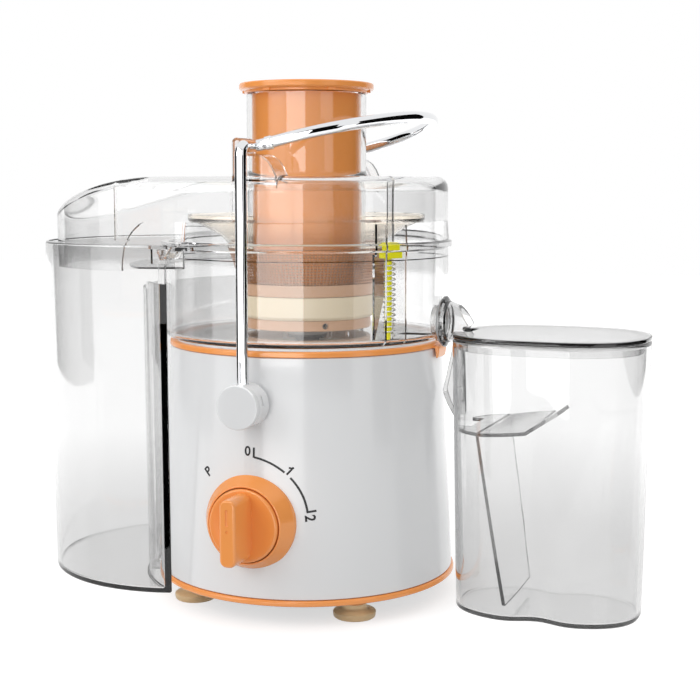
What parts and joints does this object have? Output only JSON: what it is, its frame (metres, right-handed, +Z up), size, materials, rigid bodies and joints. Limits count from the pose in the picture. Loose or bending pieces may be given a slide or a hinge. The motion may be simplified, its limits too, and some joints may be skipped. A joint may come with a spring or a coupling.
{
  "type": "centrifugal juicer",
  "caption": "Centrifugal juicer: motor base with control knob, clear bowl and hooded lid, sieve basket, locking bail, food pusher, pulp bin and lidded juice jug.",
  "frame": {"origin": "middle of the whole object in plan, on the surface that its feet, its jug and its bin stand over", "axes": "+Z up along the motor axis, -Y towards the side with the control knob, +X towards the juice jug"},
  "size_m": [0.3743, 0.2162, 0.3056],
  "materials": {
    "white_gloss": "glossy white moulded plastic",
    "orange_gloss": "glossy light orange moulded plastic",
    "clear_plastic": "clear polished plastic with a grey tint",
    "cream_plastic": "satin cream plastic",
    "suction_rubber": "soft translucent amber rubber",
    "yellow_plastic": "bright yellow plastic",
    "chromed_wire": "mirror chrome plating",
    "stainless_steel": "satin stainless steel",
    "cast_aluminium": "die-cast, satin",
    "lamination_steel": "dull stacked sheet steel",
    "copper": "bare and enamelled copper",
    "black_plastic": "matte black plastic",
    "black_rubber": "matte black rubber",
    "grey_plastic": "matte grey plastic"
  },
  "bodies": {
    "base": {"motor_housing": "white_gloss", "motor_deck": "white_gloss", "base_ring": "orange_gloss", "top_ring": "orange_gloss", "knob_bezel": "orange_gloss", "juice_bowl": "clear_plastic", "bowl_chute": "clear_plastic", "spout_socket": "clear_plastic", "juice_spout": "clear_plastic", "lid": "clear_plastic", "feed_tube": "clear_plastic", "bail_ear_front": "clear_plastic", "bail_ear_rear": "clear_plastic", "suction_foot_front_right": "suction_rubber", "suction_foot_rear_right": "suction_rubber", "suction_foot_rear_left": "suction_rubber", "suction_foot_front_left": "suction_rubber", "interlock_spring": "stainless_steel", "bearing_lower": "stainless_steel", "bearing_upper": "stainless_steel", "motor_bracket_lower": "cast_aluminium", "motor_bracket_upper": "cast_aluminium", "stator_core": "lamination_steel", "field_coil_front": "copper", "field_coil_rear": "copper", "interlock_switch": "black_plastic", "rotary_switch": "black_plastic", "brush_holder_right": "black_plastic", "brush_holder_left": "black_plastic", "shaft_seal": "black_rubber", "cord_gland": "black_rubber", "rubber_mount_1": "black_rubber", "rubber_mount_2": "black_rubber", "rubber_mount_3": "black_rubber", "rubber_mount_4": "black_rubber", "bottom_plate": "grey_plastic", "spout_seal": "grey_plastic"},
    "rotor": {"motor_shaft": "stainless_steel", "armature_core": "lamination_steel", "commutator": "copper", "cooling_fan": "black_plastic", "drive_coupling": "black_plastic", "basket_base": "cream_plastic", "grater_disc": "stainless_steel", "mesh_cone": "stainless_steel", "basket_rim": "cream_plastic"},
    "bail": {"bail_wire": "chromed_wire", "pivot_hub_front": "white_gloss", "pivot_hub_rear": "white_gloss", "hub_cap_front": "white_gloss", "hub_cap_rear": "white_gloss"},
    "pusher": {"pusher_body": "orange_gloss", "pusher_cap": "orange_gloss"},
    "knob": {"control_knob": "orange_gloss", "knob_shaft": "stainless_steel"},
    "pulp_bin": {"pulp_bin": "clear_plastic"},
    "jug": {"juice_jug": "clear_plastic", "froth_separator": "clear_plastic"},
    "jug_lid": {"jug_lid": "clear_plastic"},
    "interlock_pin": {"interlock_pin": "yellow_plastic"}
  },
  "joints": [
    {"name": "rotor_spin", "type": "hinge", "parent": "base", "child": "rotor", "pos_m": [-0.0196, 0.0068, 0.17], "axis": [0, 0, 1], "continuous": true},
    {"name": "bail_swing", "type": "hinge", "parent": "base", "child": "bail", "pos_m": [-0.0196, 0.0068, 0.1253], "axis": [0, 1, 0], "range_deg": [0, 40]},
    {"name": "pusher_slide", "type": "slide", "parent": "base", "child": "pusher", "axis": [0, 0, 1], "range_m": [0, 0.19]},
    {"name": "knob_turn", "type": "hinge", "parent": "base", "child": "knob", "pos_m": [-0.0196, -0.0832, 0.058], "axis": [0, 1, 0], "range_deg": [-45, 90]},
    {"name": "pulp_bin_tilt", "type": "hinge", "parent": "base", "child": "pulp_bin", "pos_m": [-0.0726, 0.0068, 0.204], "axis": [0, 1, 0], "range_deg": [0, 10]},
    {"name": "jug_slide", "type": "slide", "parent": "base", "child": "jug", "axis": [1, 0, 0], "range_m": [0, 0.15]},
    {"name": "jug_lid_lift", "type": "slide", "parent": "jug", "child": "jug_lid", "axis": [0, 0, 1], "range_m": [0, 0.024]},
    {"name": "interlock_press", "type": "slide", "parent": "base", "child": "interlock_pin", "axis": [0, 0, 1], "range_m": [-0.004, 0], "stiffness_N_per_m": 400, "springref_m": 0.008, "deforming": ["interlock_spring"]}
  ]
}
